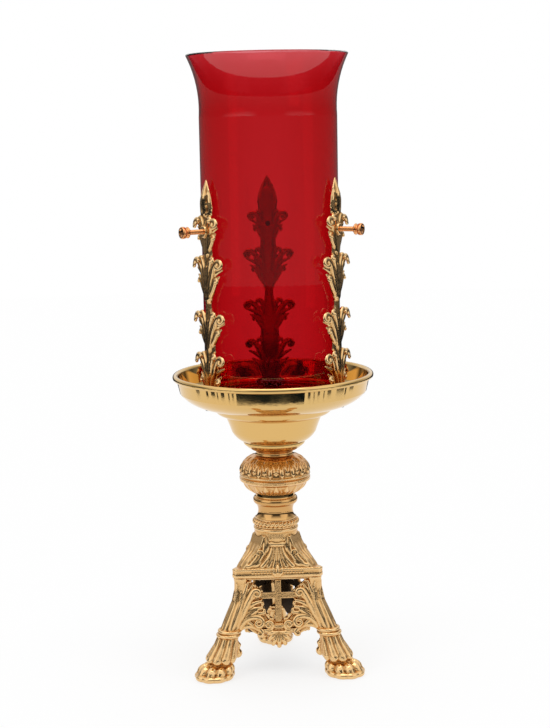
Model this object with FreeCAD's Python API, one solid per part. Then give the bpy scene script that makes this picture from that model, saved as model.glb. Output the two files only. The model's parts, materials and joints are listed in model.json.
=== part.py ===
import FreeCAD, Part
import math
import os
from FreeCAD import Vector

# Standing sanctuary lamp, in millimetres, +Z up. The origin is on the floor, on the lamp's axis.
# Arms and legs stand at azimuths 90, 210 and 330 degrees from +X; the base's faces lie between them.

# --- layout
CORNERS = {"front_left": 210, "front_right": 330, "rear": 90}
FACES = {"front": 270, "right_rear": 30, "left_rear": 150}
ROOT_3 = math.sqrt(3)

# --- heights where one piece stands on the next
Z_LEG_TOP = 82.0
Z_SHOULDER = 90.0
Z_BASE_TOP = 122.0
Z_COLLAR_TOP = 129.5
Z_SPOOL_TOP = 150.0
Z_KNOP_JOINT = 165.6
Z_KNOP_TOP = 183.0
Z_NECK_TOP = 187.0
Z_RING_TOP = 195.0
Z_BOWL_UNDER = 224.7
Z_BOWL_FLOOR = 226.0
Z_ARM_TIP = 413.0
Z_RIM = 512.0
Z_THUMB_SCREW = 371.7

# --- central rod and its fasteners
ROD_R = 3.0
ROD_BORE_R = 3.3
NUT_BORE_R = 3.03
NUT_FLATS = 11.0
WASHER_R = 9.0
WASHER_T = 1.4
UPPER_NUT_T = 3.8
LOWER_NUT_T = 5.0
ROD_END = 0.4
PLATE_UNDER = 117.0
CLEARANCE = 0.3
THREAD_GAP = 0.03
OVERCUT = 1.0

# --- glass globe
GLOBE_R = 56.1
GLOBE_WALL = 3.0
FLARE_R = 65.6
FLARE_START = 462.0
GLOBE_FLOOR = 9.0
KICK_UP = 6.6
KICK_UP_R = 38.0
HEEL_R = 6.0

# --- drip bowl
BOWL_LEDGE_Z = 229.4
BOWL_RECESS_R = 56.8
LIP_R = 2.3
LIP_CENTRE_R = 81.0
LIP_CENTRE_Z = 249.7

# --- arms and their fixing screws
ARM_INNER_R = 57.2
ARM_OUTER_R = 62.2
ARM_BOSS_R = 5.0
ARM_BOSS_FACE_R = 64.0
ARM_FOOT_R = 66.5
ARM_FOOT_HALF = 9.0
ARM_FOOT_TOP = 235.0
ARM_SCREW_TOP = 238.0
ARM_SCREW_AT_R = 61.6
ARM_SCREW_R = 1.6
ARM_SCREW_HEAD_R = 3.0
ARM_SCREW_HEAD_T = 1.1
ARM_SCREW_BORE_R = 1.8
ARM_SCREW_SEAT_Z = 227.8

# --- thumb screws
SCREW_R = 2.1
SCREW_BORE_R = 2.17
TIP_R = 2.0
TIP_START_R = 56.4
TIP_LENGTH = 2.8
STUD_R = 0.9
STUD_LENGTH = 1.6
PIVOT_GAP = 0.05
HEAD_START_R = 75.8
HEAD_BEAD_R = 4.6
HEAD_NECK_R = 3.0
HEAD_DISC_R = 4.9

# --- turned stem and cup
COLLAR_FOOT_R = 17.6
COLLAR_EDGE_R = 19.8
KNOP_BOSS_R = 7.0
KNOP_CROWN_T = 4.0
CUP_SHEET = 1.5
CUP_TOP_R = 51.5

# --- cast base
CORNICE_APOTHEM = 23.5
CORNICE_CORNER_R = 42.4
SHELL_NECK_R = 18.4
CAVITY_APOTHEM = 19.6
PAD_CORNER_R = 26.0
LEG_SCREW_AT_R = 32.0
LEG_SCREW_R = 1.8
LEG_SCREW_HEAD_R = 3.0
LEG_SCREW_HEAD_T = 2.4
LEG_SCREW_DEPTH = 10.0
PAD_TOP = 86.0
PANEL_T = 5.0
PANEL_TOP_APOTHEM = 21.5
PANEL_TILT_DEG = 6.5
CROSS_SET_BACK = 0.4
CROSS_HALF_WIDTH = 2.7
CROSS_HALF_SPAN = 16.0
CROSS_FOOT_Z = 44.5
CROSS_BAR_Z = (64.4, 69.6)
WINDOW_TOP_Z = 80.0


def outline(start, *steps):
    """A closed face in the XZ plane. A step is an end point, or (via, end) for an arc."""
    edges = []
    here = Vector(start[0], 0, start[1])
    for step in steps + (start,):
        if isinstance(step[0], tuple):
            via = Vector(step[0][0], 0, step[0][1])
            end = Vector(step[1][0], 0, step[1][1])
            edges.append(Part.Arc(here, via, end).toShape())
        else:
            end = Vector(step[0], 0, step[1])
            if end.distanceToPoint(here) > 1e-6:
                edges.append(Part.LineSegment(here, end).toShape())
        here = end
    return Part.Face(Part.Wire(edges))


def turned(start, *steps):
    """A solid of revolution about the lamp's axis; x is the radius."""
    return outline(start, *steps).revolve(Vector(0, 0, 0), Vector(0, 0, 1), 360)


def cylinder(radius, low, high, x=0.0):
    return Part.makeCylinder(radius, high - low, Vector(x, 0, low))


def radial_cylinder(radius, start, end, z):
    """A cylinder that points outwards along +X."""
    return Part.makeCylinder(radius, end - start, Vector(start, 0, z), Vector(1, 0, 0))


def turn_to(shape, azimuth):
    copy = shape.copy()
    copy.rotate(Vector(0, 0, 0), Vector(0, 0, 1), azimuth)
    return copy


def mirrored_outline(half):
    """A full set of steps from one side's, given from the bottom middle to the top middle."""
    other = []
    points = [step if not isinstance(step[0], tuple) else step[1] for step in half]
    for i in range(len(half) - 1, 0, -1):
        step, end = half[i], points[i - 1]
        if isinstance(step[0], tuple):
            other.append(((-step[0][0], step[0][1]), (-end[0], end[1])))
        else:
            other.append((-end[0], end[1]))
    return half + other


def plate(half, near, far):
    """A plate facing +X, symmetric about Y = 0, from its right-hand outline of (y, z) steps."""
    face = outline(*mirrored_outline(half))
    face.rotate(Vector(0, 0, 0), Vector(0, 0, 1), 90)
    face.translate(Vector(near, 0, 0))
    return face.extrude(Vector(far - near, 0, 0))


# ---------------------------------------------------------------- cast base

def corner_section(z, apothem, corner):
    """A triangle with cut corners: three long sides at apothem, three short ones at corner."""
    half = (2 * apothem - corner) / ROOT_3
    points = []
    for azimuth in sorted(CORNERS.values()):
        a = math.radians(azimuth)
        for side in (-half, half):
            x = corner * math.cos(a) - side * math.sin(a)
            y = corner * math.sin(a) + side * math.cos(a)
            points.append(Vector(x, y, z))
    return Part.makePolygon(points + [points[0]])


def loft(wires):
    return Part.makeLoft(wires, True, True)


def prism(apothem, corner, low, high):
    return loft([corner_section(low, apothem, corner), corner_section(high, apothem, corner)])


def base_shell():
    """Three-cornered cap: a plain cornice, concave sides and a round neck, hollow below."""
    outside = [(Z_SHOULDER, 22.9, 36.4), (96.3, 20.7, 31.4), (102.6, 19.2, 24.8)]
    outside += [(109.0, 17.5, 20.6), (116.0, 16.4, 17.8)]
    body = loft([corner_section(*s) for s in outside])
    body = body.fuse(prism(CORNICE_APOTHEM, CORNICE_CORNER_R, Z_LEG_TOP, Z_SHOULDER))
    body = body.fuse(cylinder(SHELL_NECK_R, 98.0, Z_BASE_TOP))
    inside = [(PAD_TOP, CAVITY_APOTHEM, 34.6), (96.3, 17.2, 26.4), (102.6, 15.8, 20.4)]
    inside += [(109.0, 14.4, 16.8), (PLATE_UNDER, 13.6, 14.6)]
    body = body.cut(loft([corner_section(*s) for s in inside]))
    body = body.cut(prism(CAVITY_APOTHEM, PAD_CORNER_R, Z_LEG_TOP - OVERCUT, PAD_TOP + 0.1))
    body = body.cut(cylinder(ROD_BORE_R, PLATE_UNDER - OVERCUT, Z_BASE_TOP + OVERCUT))
    head_room = LEG_SCREW_HEAD_T + 2 * CLEARANCE
    for azimuth in CORNERS.values():
        hole = cylinder(LEG_SCREW_R + CLEARANCE, Z_LEG_TOP - OVERCUT, PAD_TOP + OVERCUT, LEG_SCREW_AT_R)
        seat = cylinder(LEG_SCREW_HEAD_R + CLEARANCE, PAD_TOP, PAD_TOP + head_room, LEG_SCREW_AT_R)
        body = body.cut(turn_to(hole.fuse(seat), azimuth))
    return body.removeSplitter()


def leg():
    """A monopodium: a round corner post that sweeps out to an ankle and a lion's paw."""
    # height, centre radius, half-size along the radius, half-size across it
    sections = [(Z_LEG_TOP, 35.4, 7.0, 6.8), (74.0, 34.6, 6.9, 6.8), (62.0, 36.2, 7.3, 7.2)]
    sections += [(51.6, 41.0, 7.9, 7.6), (41.0, 46.2, 8.3, 8.1), (33.6, 49.2, 8.8, 8.6)]
    sections += [(26.7, 51.6, 9.2, 9.1), (18.6, 54.9, 11.2, 10.8), (10.0, 59.2, 13.7, 13.0)]
    sections += [(4.5, 62.6, 17.2, 16.2), (1.4, 63.0, 17.2, 16.2), (0.0, 63.0, 15.8, 14.8)]
    wires = []
    for z, centre, along, across in sections:
        ellipse = Part.Ellipse(Vector(centre, 0, z), along, across)
        wires.append(Part.Wire([ellipse.toShape()]))
    body = loft(wires)
    low, high = Z_LEG_TOP - LEG_SCREW_DEPTH - OVERCUT, Z_LEG_TOP + OVERCUT
    return body.cut(cylinder(LEG_SCREW_R + THREAD_GAP, low, high, LEG_SCREW_AT_R))


def leg_screw():
    shank = cylinder(LEG_SCREW_R, Z_LEG_TOP - LEG_SCREW_DEPTH, PAD_TOP, LEG_SCREW_AT_R)
    head = cylinder(LEG_SCREW_HEAD_R, PAD_TOP, PAD_TOP + LEG_SCREW_HEAD_T, LEG_SCREW_AT_R)
    return shank.fuse(head).removeSplitter()


def tilt(shape):
    """Leans a panel out at the foot, about its top edge."""
    shape.rotate(Vector(PANEL_TOP_APOTHEM, 0, Z_LEG_TOP), Vector(0, 1, 0), -PANEL_TILT_DEG)
    return shape


def panel(legs_beside):
    """An openwork panel: scrolls round a window, and a shell pendant under it."""
    half = [(0, 23.4), ((6.4, 26.5), (8.2, 32.5)), (7.4, 36.8), ((14.5, 33.6), (22.0, 36.6))]
    half += [((28.5, 41.5), (36.0, 40.5)), (36.0, 48.0), (27.0, 64.0), (27.0, 86.0), (0, 86.0)]
    body = plate(half, PANEL_TOP_APOTHEM - PANEL_T, PANEL_TOP_APOTHEM)
    low, high = CROSS_BAR_Z
    window = [(0, CROSS_FOOT_Z), (CROSS_HALF_WIDTH, CROSS_FOOT_Z), (CROSS_HALF_WIDTH, 46.2)]
    window += [((10.0, 53.5), (12.6, low)), (CROSS_HALF_SPAN, low), (CROSS_HALF_SPAN, high)]
    window += [(12.6, high), (12.6, 70.9), ((17.6, 74.9), (23.8, WINDOW_TOP_Z)), (0, WINDOW_TOP_Z)]
    body = tilt(body.cut(plate(window, 0, 2 * PANEL_TOP_APOTHEM)))
    body = body.cut(Part.makeBox(90, 120, 40, Vector(0, -60, Z_LEG_TOP)))
    for post in legs_beside:
        body = body.cut(post)
    return max(body.Solids, key=lambda solid: solid.Volume)


def cross():
    """The plain cross that stands in a panel's window."""
    low, high = CROSS_BAR_Z
    half = [(0, CROSS_FOOT_Z), (CROSS_HALF_WIDTH, CROSS_FOOT_Z), (CROSS_HALF_WIDTH, low)]
    half += [(CROSS_HALF_SPAN, low), (CROSS_HALF_SPAN, high), (CROSS_HALF_WIDTH, high)]
    half += [(CROSS_HALF_WIDTH, WINDOW_TOP_Z), (0, WINDOW_TOP_Z)]
    back, front = PANEL_TOP_APOTHEM - PANEL_T, PANEL_TOP_APOTHEM
    return tilt(plate(half, back + 2 * CROSS_SET_BACK, front - CROSS_SET_BACK))


# ---------------------------------------------------------------- turned stem

def rope_collar():
    low, high = Z_BASE_TOP, Z_COLLAR_TOP
    bulge = ((COLLAR_EDGE_R, (low + high) / 2), (COLLAR_FOOT_R, high))
    return turned((ROD_BORE_R, low), (COLLAR_FOOT_R, low), bulge, (ROD_BORE_R, high))


def stem_spool():
    """A waisted spool with a ring round its upper end."""
    steps = [(16.8, Z_COLLAR_TOP), (15.8, 131.0), ((14.7, 134.6), (15.5, 139.4)), (16.0, 140.6)]
    steps += [(17.0, 141.2), ((18.7, 144.4), (17.0, 147.6)), (16.6, 148.4), (16.4, Z_SPOOL_TOP)]
    return turned((ROD_BORE_R, Z_COLLAR_TOP), *steps, (ROD_BORE_R, Z_SPOOL_TOP))


def knop_lower():
    """The lower half of the knop, a cast cup with a boss round the rod."""
    low, high = Z_SPOOL_TOP, Z_KNOP_JOINT
    steps = [(16.6, low), ((24.8, 155.2), (29.8, high - 1.4)), (29.8, high), (26.4, high)]
    floor = low + KNOP_CROWN_T
    steps += [((22.0, 158.6), (14.0, floor)), (KNOP_BOSS_R, floor), (KNOP_BOSS_R, high)]
    steps += [(ROD_BORE_R, high)]
    return turned((ROD_BORE_R, low), *steps)


def knop_upper():
    """The upper half, a cast dome that sits on the lower half's edge and boss."""
    low, high = Z_KNOP_JOINT, Z_KNOP_TOP
    ceiling = high - KNOP_CROWN_T
    steps = [(KNOP_BOSS_R, low), (KNOP_BOSS_R, ceiling), (14.0, ceiling), ((22.6, 175.8), (26.6, 168.4))]
    steps += [(26.6, low), (29.8, low), (30.0, 167.0), ((28.4, 174.2), (17.0, high))]
    return turned((ROD_BORE_R, low), *steps, (ROD_BORE_R, high))


def neck_sleeve():
    low, high = Z_KNOP_TOP, Z_NECK_TOP
    return turned((ROD_BORE_R, low), (16.4, low), ((15.6, 184.8), (16.6, high)), (ROD_BORE_R, high))


def cup_foot_ring():
    """The turned disc between the neck and the cup, with a cove under its edge."""
    low, high = Z_NECK_TOP, Z_RING_TOP
    steps = [(17.6, low), ((21.2, 188.8), (24.2, 191.4)), ((25.8, 193.4), (25.8, high))]
    return turned((ROD_BORE_R, low), *steps, (ROD_BORE_R, high))


# ---------------------------------------------------------------- cup and bowl

def bowl_cup():
    """A spun cup: rounded foot, ribbed shoulder and a flange under the bowl."""
    low, top = Z_RING_TOP, Z_BOWL_UNDER
    steps = [(26.6, low), ((31.8, 198.6), (35.2, 203.2)), ((37.6, 209.8), (40.2, 216.2))]
    steps += [(42.4, 217.2), ((46.8, 218.9), (49.2, 221.6)), (CUP_TOP_R, top)]
    steps += [(CUP_TOP_R - CUP_SHEET, top), ((46.2, 220.8), (41.8, 219.0)), (39.0, 217.4)]
    steps += [((36.2, 210.4), (33.8, 204.0)), ((30.8, 200.0), (26.2, low + CUP_SHEET))]
    return turned((ROD_BORE_R, low), *steps, (ROD_BORE_R, low + CUP_SHEET))


def drip_bowl():
    """A bowl with a flat floor for the globe, a ledge for the arms and a rolled lip."""
    lip_low = (LIP_CENTRE_R - 0.42 * LIP_R, LIP_CENTRE_Z - 0.91 * LIP_R)
    lip_in = (LIP_CENTRE_R - 0.98 * LIP_R, LIP_CENTRE_Z + 0.21 * LIP_R)
    steps = [(CUP_TOP_R, Z_BOWL_UNDER), ((66.6, 228.0), (77.5, 236.9)), lip_low]
    steps += [((LIP_CENTRE_R + LIP_R, LIP_CENTRE_Z), lip_in), (76.2, 237.3)]
    steps += [((72.6, 232.2), (67.2, BOWL_LEDGE_Z)), (BOWL_RECESS_R, BOWL_LEDGE_Z)]
    steps += [(BOWL_RECESS_R, Z_BOWL_FLOOR), (ROD_BORE_R, Z_BOWL_FLOOR)]
    body = turned((ROD_BORE_R, Z_BOWL_UNDER), *steps)
    low, high = Z_BOWL_UNDER - OVERCUT, BOWL_LEDGE_Z + OVERCUT
    for azimuth in CORNERS.values():
        hole = cylinder(ARM_SCREW_BORE_R, low, high, ARM_SCREW_AT_R)
        seat = cylinder(ARM_SCREW_HEAD_R + CLEARANCE, low, ARM_SCREW_SEAT_Z, ARM_SCREW_AT_R)
        body = body.cut(turn_to(hole.fuse(seat), azimuth))
    return body


# ---------------------------------------------------------------- arms and screws

def arm():
    """Four leaf tiers on a stem, bent round the globe, with a foot and a screw boss."""
    low = BOWL_LEDGE_Z
    half = [(0, low), (12.0, low), (12.0, 234.0), (8.5, 241.0), ((13.0, 258.0), (19.5, 269.0))]
    half += [(9.0, 273.0), (8.8, 281.0), ((12.5, 293.0), (20.0, 303.0)), (8.0, 308.0), (3.8, 313.0)]
    half += [(4.0, 322.0), ((10.0, 337.0), (19.0, 347.0)), (7.5, 351.0), (7.0, 360.0)]
    half += [((9.6, 371.0), (15.5, 379.5)), (8.0, 384.0), (8.6, 392.0), ((5.6, 403.0), (0, Z_ARM_TIP))]
    bend = cylinder(ARM_OUTER_R, low, Z_ARM_TIP)
    inside = ARM_INNER_R / 2
    body = plate(half, inside, 1.5 * ARM_OUTER_R).common(bend)
    foot_size = (ARM_FOOT_R - inside, 2 * ARM_FOOT_HALF, ARM_FOOT_TOP - low)
    body = body.fuse(Part.makeBox(*foot_size, Vector(inside, -ARM_FOOT_HALF, low)))
    body = body.fuse(radial_cylinder(ARM_BOSS_R, inside, ARM_BOSS_FACE_R, Z_THUMB_SCREW))
    body = body.cut(cylinder(ARM_INNER_R, low - OVERCUT, Z_ARM_TIP + OVERCUT))
    outside = ARM_BOSS_FACE_R + OVERCUT
    body = body.cut(radial_cylinder(SCREW_BORE_R, inside, outside, Z_THUMB_SCREW))
    tapped = cylinder(ARM_SCREW_R + THREAD_GAP, low - OVERCUT, ARM_SCREW_TOP + OVERCUT, ARM_SCREW_AT_R)
    return body.cut(tapped)


def arm_screw():
    seat = ARM_SCREW_SEAT_Z
    head = cylinder(ARM_SCREW_HEAD_R, seat - ARM_SCREW_HEAD_T, seat, ARM_SCREW_AT_R)
    shank = cylinder(ARM_SCREW_R, seat, ARM_SCREW_TOP, ARM_SCREW_AT_R)
    return head.fuse(shank).removeSplitter()


def revolve_on_x(z, *points):
    """A solid turned about a radial line at height z, from (radius from the lamp's axis, r) points."""
    wire = Part.makePolygon([Vector(x, 0, z + r) for x, r in points + (points[0],)])
    return Part.Face(wire).revolve(Vector(0, 0, z), Vector(1, 0, 0), 360)


def thumb_screw():
    """Stud, threaded shank, bead, neck and knurled disc, along +X."""
    shoulder = TIP_START_R + TIP_LENGTH + PIVOT_GAP
    stud = shoulder - STUD_LENGTH
    head = HEAD_START_R
    points = [(stud, 0), (stud, STUD_R), (shoulder, STUD_R), (shoulder, SCREW_R), (head, SCREW_R)]
    points += [(head, HEAD_NECK_R), (head + 1.3, HEAD_BEAD_R), (head + 1.8, HEAD_BEAD_R)]
    points += [(head + 3.1, HEAD_NECK_R), (head + 3.9, HEAD_NECK_R), (head + 4.2, HEAD_BEAD_R)]
    points += [(head + 4.6, HEAD_DISC_R), (head + 6.9, HEAD_DISC_R), (head + 7.4, HEAD_BEAD_R)]
    points += [(head + 7.4, 0)]
    return revolve_on_x(Z_THUMB_SCREW, *points)


def thumb_screw_tip():
    """A soft cap that turns on the screw's stud and meets the glass."""
    low, high = TIP_START_R, TIP_START_R + TIP_LENGTH
    floor = high - STUD_LENGTH - PIVOT_GAP
    points = [(low, 0), (low, TIP_R - 0.3), (low + 0.3, TIP_R), (high, TIP_R)]
    points += [(high, STUD_R + PIVOT_GAP), (floor, STUD_R + PIVOT_GAP), (floor, 0)]
    return revolve_on_x(Z_THUMB_SCREW, *points)


# ---------------------------------------------------------------- globe

def glass_globe():
    """A straight globe with a flared rim, a round heel and a hollow under its floor."""
    low = Z_BOWL_FLOOR
    inner = GLOBE_R - GLOBE_WALL
    flare_inner = FLARE_R - GLOBE_WALL + 0.8
    heel = HEEL_R * (1 - math.sqrt(0.5))
    steps = [((0.6 * KICK_UP_R, low + 0.7 * KICK_UP), (KICK_UP_R, low)), (GLOBE_R - HEEL_R, low)]
    steps += [((GLOBE_R - heel, low + heel), (GLOBE_R, low + HEEL_R)), (GLOBE_R, FLARE_START)]
    steps += [((58.2, 490.0), (FLARE_R, Z_RIM - 1.0)), ((FLARE_R - 1.0, Z_RIM), (flare_inner, Z_RIM - 1.0))]
    steps += [((55.3, 490.5), (inner, FLARE_START)), (inner, low + GLOBE_FLOOR + HEEL_R)]
    steps += [((inner - heel, low + GLOBE_FLOOR + heel), (inner - HEEL_R, low + GLOBE_FLOOR))]
    steps += [(0, low + GLOBE_FLOOR)]
    return turned((0, low + KICK_UP), *steps)


# ---------------------------------------------------------------- fasteners on the rod

def washer(low):
    hole = cylinder(ROD_BORE_R, low - OVERCUT, low + WASHER_T + OVERCUT)
    return cylinder(WASHER_R, low, low + WASHER_T).cut(hole)


def nut(low, thickness):
    corner = NUT_FLATS / ROOT_3
    points = []
    for k in range(7):
        a = math.radians(60 * k)
        points.append(Vector(corner * math.cos(a), corner * math.sin(a), low))
    body = Part.Face(Part.makePolygon(points)).extrude(Vector(0, 0, thickness))
    return body.cut(cylinder(NUT_BORE_R, low - OVERCUT, low + thickness + OVERCUT))


def save(node, shapes):
    shape = shapes[0] if len(shapes) == 1 else Part.makeCompound(shapes)
    solids = shape.Solids
    valid = all(solid.isValid() for solid in solids)
    volume = sum(solid.Volume for solid in solids)
    print(f"{node}: {len(solids)} solid(s), valid {valid}, {volume:.0f} mm3")
    if len(shapes) == 1:
        shape = solids[0]
    shape.exportStep(f"parts/{node}.step")


def main():
    os.makedirs("parts", exist_ok=True)
    save("base_shell", [base_shell()])
    one_leg = leg()
    one_panel = panel([turn_to(one_leg, side) for side in (-60, 60)])
    one_cross = cross()
    one_arm = arm()
    for name, azimuth in FACES.items():
        save(f"panel_{name}", [turn_to(one_panel, azimuth)])
        save(f"cross_{name}", [turn_to(one_cross, azimuth)])
    for name, azimuth in CORNERS.items():
        save(f"leg_{name}", [turn_to(one_leg, azimuth)])
        save(f"arm_{name}", [turn_to(one_arm, azimuth)])
        save(f"thumb_screw_{name}", [turn_to(thumb_screw(), azimuth)])
        save(f"thumb_screw_tip_{name}", [turn_to(thumb_screw_tip(), azimuth)])
    save("leg_screws", [turn_to(leg_screw(), azimuth) for azimuth in CORNERS.values()])
    save("arm_screws", [turn_to(arm_screw(), azimuth) for azimuth in CORNERS.values()])
    save("rope_collar", [rope_collar()])
    save("stem_spool", [stem_spool()])
    save("knop_lower", [knop_lower()])
    save("knop_upper", [knop_upper()])
    save("neck_sleeve", [neck_sleeve()])
    save("cup_foot_ring", [cup_foot_ring()])
    save("bowl_cup", [bowl_cup()])
    save("drip_bowl", [drip_bowl()])
    upper_washer_z = Z_BOWL_FLOOR
    upper_nut_z = upper_washer_z + WASHER_T
    lower_washer_z = PLATE_UNDER - WASHER_T
    lower_nut_z = lower_washer_z - LOWER_NUT_T
    save("upper_washer", [washer(upper_washer_z)])
    save("upper_nut", [nut(upper_nut_z, UPPER_NUT_T)])
    save("lower_washer", [washer(lower_washer_z)])
    save("lower_nut", [nut(lower_nut_z, LOWER_NUT_T)])
    save("tie_rod", [cylinder(ROD_R, lower_nut_z - 2.0, upper_nut_z + UPPER_NUT_T + ROD_END)])
    save("glass_globe", [glass_globe()])


main()
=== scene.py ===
import json
import math

import bpy
import bmesh
import numpy as np
from mathutils import Matrix, Vector


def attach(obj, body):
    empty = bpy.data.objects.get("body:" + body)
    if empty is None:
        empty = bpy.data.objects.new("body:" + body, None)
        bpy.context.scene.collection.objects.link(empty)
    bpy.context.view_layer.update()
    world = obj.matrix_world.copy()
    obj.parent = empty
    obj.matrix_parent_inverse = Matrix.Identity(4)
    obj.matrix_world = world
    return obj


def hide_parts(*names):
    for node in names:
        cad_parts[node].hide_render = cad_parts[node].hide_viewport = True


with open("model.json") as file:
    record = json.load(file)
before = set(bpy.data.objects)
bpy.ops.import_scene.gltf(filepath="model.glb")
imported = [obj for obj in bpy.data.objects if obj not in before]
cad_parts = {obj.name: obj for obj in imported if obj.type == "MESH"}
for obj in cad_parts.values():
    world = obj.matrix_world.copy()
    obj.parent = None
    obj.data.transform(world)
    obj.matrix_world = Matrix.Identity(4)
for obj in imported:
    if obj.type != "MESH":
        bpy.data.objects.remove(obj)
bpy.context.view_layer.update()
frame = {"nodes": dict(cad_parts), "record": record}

# Shapes are worked out in millimetres in the lamp's own frame, and scaled as each mesh is made.
MM = 0.001
CORNERS = {"front_left": 210, "front_right": 330, "rear": 90}
FACES = {"front": 270, "right_rear": 30, "left_rear": 150}
ROD_BORE_R = 3.3
# how far a point stands proud of its surroundings where the finish is brightest; below that the finish
# paints shade into the hollows
FULL_RELIEF = 0.35


# ---------------------------------------------------------------- mesh kit

def unit(vectors):
    return vectors / np.maximum(np.linalg.norm(vectors, axis=-1, keepdims=True), 1e-9)


def bezier(start, control, end, count=16):
    """Points of a quadratic curve, in as many dimensions as its ends have."""
    t = np.linspace(0, 1, count)[:, None]
    start, control, end = (np.asarray(p, float) for p in (start, control, end))
    return (1 - t) ** 2 * start + 2 * t * (1 - t) * control + t ** 2 * end


def volute(start, control, end, radius, turns, hand, count=22):
    """A flat curve that runs from start to end and goes on into a shrinking spiral."""
    stem = bezier(start, control, end)
    heading = math.atan2(*(stem[-1] - stem[-2])[::-1])
    first = heading - hand * math.pi / 2
    centre = stem[-1] - radius * np.array([math.cos(first), math.sin(first)])
    t = np.linspace(0, 1, count)[1:]
    angle = first + hand * turns * 2 * math.pi * t
    reach = radius * (1 - 0.72 * t)
    curl = centre + reach[:, None] * np.stack([np.cos(angle), np.sin(angle)], 1)
    return np.concatenate([stem, curl])


def along(path, *stops):
    """A value for each point of a path, from values spaced evenly along it."""
    return np.interp(np.linspace(0, 1, len(path)), np.linspace(0, 1, len(stops)), stops)


def added(name, data):
    """A new object in the scene that shows a mesh, a light or a camera."""
    obj = bpy.data.objects.new(name, data)
    bpy.context.scene.collection.objects.link(obj)
    return obj


def mesh_object(name, verts, faces, smooth=True):
    mesh = bpy.data.meshes.new(name)
    mesh.from_pydata((np.asarray(verts) * MM).tolist(), [], [list(map(int, f)) for f in faces])
    mesh.validate()
    obj = added(name, mesh)
    work = bmesh.new()
    work.from_mesh(mesh)
    bmesh.ops.recalc_face_normals(work, faces=work.faces)
    work.to_mesh(mesh)
    work.free()
    if smooth:
        mesh.shade_smooth()
    return obj


class Casting:
    """Gathers closed lumps in millimetres and fuses them into one skin."""

    def __init__(self):
        self.verts = []
        self.faces = []

    def loft(self, rings, closed=False):
        """A closed lump through rings of points; closed joins the last ring to the first."""
        rings = np.asarray(rings, float)
        count, around, _ = rings.shape
        base = len(self.verts)
        self.verts.extend(rings.reshape(-1, 3).tolist())
        for i in range(count if closed else count - 1):
            near, far = base + i * around, base + (i + 1) % count * around
            for j in range(around):
                k = (j + 1) % around
                self.faces.append((near + j, near + k, far + k, far + j))
        if not closed:
            last = base + (count - 1) * around
            self.faces.append(tuple(base + j for j in reversed(range(around))))
            self.faces.append(tuple(last + j for j in range(around)))

    def tube(self, path, radius, up, squash=1.0, sides=10):
        """A rounded tapering tube; up is the direction in which squash flattens it."""
        path = np.asarray(path, float)
        radius = np.broadcast_to(np.asarray(radius, float), len(path))
        squash = np.broadcast_to(np.asarray(squash, float), len(path))
        tangent = unit(np.gradient(path, axis=0))
        up = np.broadcast_to(np.asarray(up, float), path.shape)
        side = unit(np.cross(tangent, up))
        up = np.cross(side, tangent)
        steps = [(0, -0.92, 0.35), (0, -0.6, 0.78)] + [(i, 0, 1) for i in range(len(path))]
        steps += [(-1, 0.6, 0.78), (-1, 0.92, 0.35)]
        angle = 2 * math.pi * np.arange(sides) / sides
        rings = []
        for i, ahead, size in steps:
            across = np.cos(angle)[:, None] * side[i] + squash[i] * np.sin(angle)[:, None] * up[i]
            rings.append(path[i] + ahead * radius[i] * tangent[i] + size * radius[i] * across)
        self.loft(rings)

    def stroke(self, place, path, radius, height, squash=1.0, sides=10):
        """A tube laid on a surface: path holds (u, v) points and place(u, v, height) finds them.

        A tuple for radius or height holds values spaced evenly along the path.
        """
        path = np.asarray(path, float)
        radius, height = (along(path, *v) if isinstance(v, tuple) else v for v in (radius, height))
        height = np.broadcast_to(np.asarray(height, float), len(path))
        points = place(path[:, 0], path[:, 1], height)
        up = unit(place(path[:, 0], path[:, 1], height + 1) - points)
        self.tube(points, radius, up, squash, sides)

    def ball(self, centre, radii, sides=12):
        rise = np.linspace(-0.97, 0.97, 8)
        angle = 2 * math.pi * np.arange(sides) / sides
        rings = []
        for t in rise:
            ring = np.stack([np.cos(angle), np.sin(angle), 0 * angle], 1) * math.sqrt(1 - t * t)
            ring[:, 2] = t
            rings.append(np.asarray(centre) + ring * np.asarray(radii))
        self.loft(rings)

    def lathe(self, profile, sides=144):
        """A ring turned about the lamp's axis from a closed outline of (radius, z) points."""
        angle = 2 * math.pi * np.arange(sides) / sides
        turn = np.stack([np.cos(angle), np.sin(angle)], 1)
        rings = []
        for radius, z in profile:
            rings.append(np.concatenate([radius * turn, np.full((sides, 1), z)], 1))
        self.loft(rings, closed=True)

    def hoop(self, points, radius, up, sides=10):
        """A closed ring of round section through points that come back to the first."""
        points = np.asarray(points, float)
        tangent = unit(np.roll(points, -1, 0) - np.roll(points, 1, 0))
        up = np.broadcast_to(np.asarray(up, float), points.shape)
        side = unit(np.cross(tangent, up))
        up = np.cross(side, tangent)
        angle = 2 * math.pi * np.arange(sides) / sides
        across = np.cos(angle)[None, :, None] * side[:, None] + np.sin(angle)[None, :, None] * up[:, None]
        self.loft(points[:, None] + radius * across, closed=True)

    def slab(self, place, outline, low, high):
        """A flat plate on a surface, from the outline of its (u, v) corners."""
        outline = np.asarray(outline, float)
        self.loft([place(outline[:, 0], outline[:, 1], 0 * outline[:, 0] + h) for h in (low, high)])

    def build(self, name, voxel, smoothing=2):
        """One fused, softened skin, as an object in the scene."""
        rough = mesh_object(name + "_lumps", self.verts, self.faces)
        fuse = rough.modifiers.new("fuse", "REMESH")
        fuse.mode = "VOXEL"
        fuse.voxel_size = voxel * MM
        if smoothing:
            soften = rough.modifiers.new("soften", "SMOOTH")
            soften.factor = 0.5
            soften.iterations = smoothing
        return applied(rough, name)


def applied(obj, name):
    """A new object with obj's modifiers applied; obj is removed."""
    bpy.context.view_layer.update()
    shape = obj.evaluated_get(bpy.context.evaluated_depsgraph_get())
    mesh = bpy.data.meshes.new_from_object(shape)
    mesh.name = name
    bpy.data.objects.remove(obj)
    mesh.shade_smooth()
    return added(name, mesh)


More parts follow.
